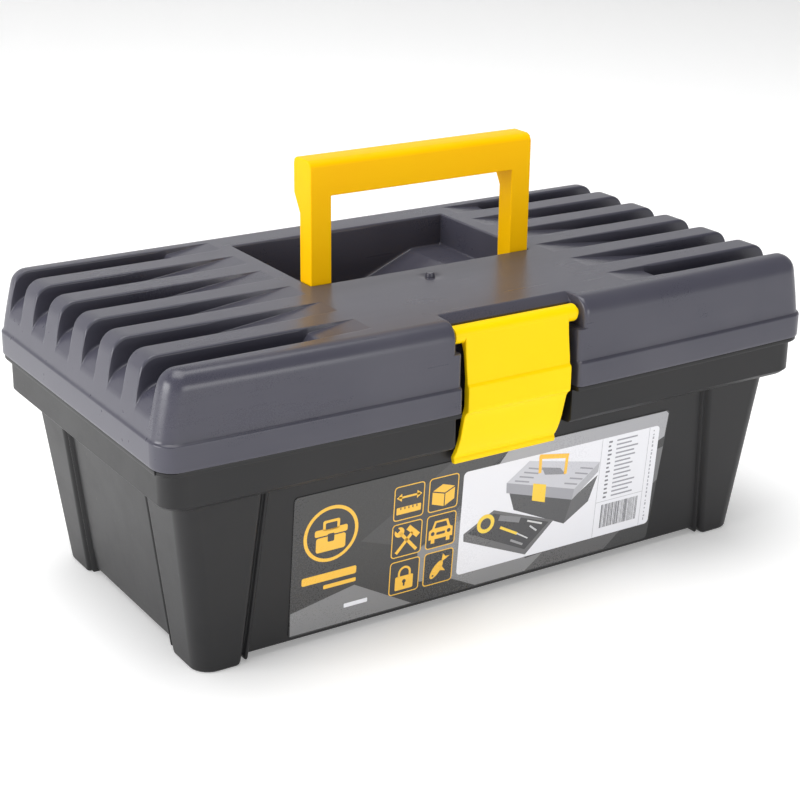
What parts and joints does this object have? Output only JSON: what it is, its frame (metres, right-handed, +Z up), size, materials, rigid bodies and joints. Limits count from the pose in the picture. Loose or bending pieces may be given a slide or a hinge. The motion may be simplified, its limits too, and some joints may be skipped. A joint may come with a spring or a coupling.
{
  "type": "toolbox with tray",
  "caption": "Moulded plastic toolbox with a hinged ribbed lid, a fold-down bail handle, a front snap latch and a lift-out tray with compartments.",
  "frame": {"origin": "on the floor under the middle of the overall box", "axes": "+X along the box to the right seen from the front, -Y towards the latch and label, +Z up"},
  "size_m": [0.312, 0.167, 0.181],
  "materials": {
    "tub": "fine-grained black polypropylene",
    "lid": "satin blue-grey polypropylene",
    "handle": "satin orange-yellow polypropylene",
    "latch": "satin yellow polypropylene",
    "tray": "fine-grained black polypropylene",
    "label": "printed film",
    "pin": "drawn wire"
  },
  "bodies": {
    "box": {"tub": "tub", "label": "label", "hinge_pin_left": "pin", "hinge_pin_right": "pin"},
    "lid": {"lid": "lid"},
    "handle": {"handle": "handle"},
    "latch": {"latch": "latch"},
    "tray": {"tray": "tray"}
  },
  "joints": [
    {"name": "lid_hinge", "type": "hinge", "parent": "box", "child": "lid", "pos_m": [0, 0.0806, 0.0935], "axis": [-1, 0, 0], "range_deg": [0, 105]},
    {"name": "handle_pivot", "type": "hinge", "parent": "lid", "child": "handle", "pos_m": [0, -0.0053, 0.125], "axis": [-1, 0, 0], "range_deg": [0, 90]},
    {"name": "latch_hinge", "type": "hinge", "parent": "lid", "child": "latch", "pos_m": [0, -0.0755, 0.1235], "axis": [-1, 0, 0], "range_deg": [0, 110]},
    {"name": "tray_lift", "type": "slide", "parent": "box", "child": "tray", "axis": [0, 0, 1], "range_m": [0, 0.066]}
  ],
  "couplings": [
    {"joint": "tray_lift", "follows": "lid_hinge", "m_per_rad": 0.0355}
  ]
}
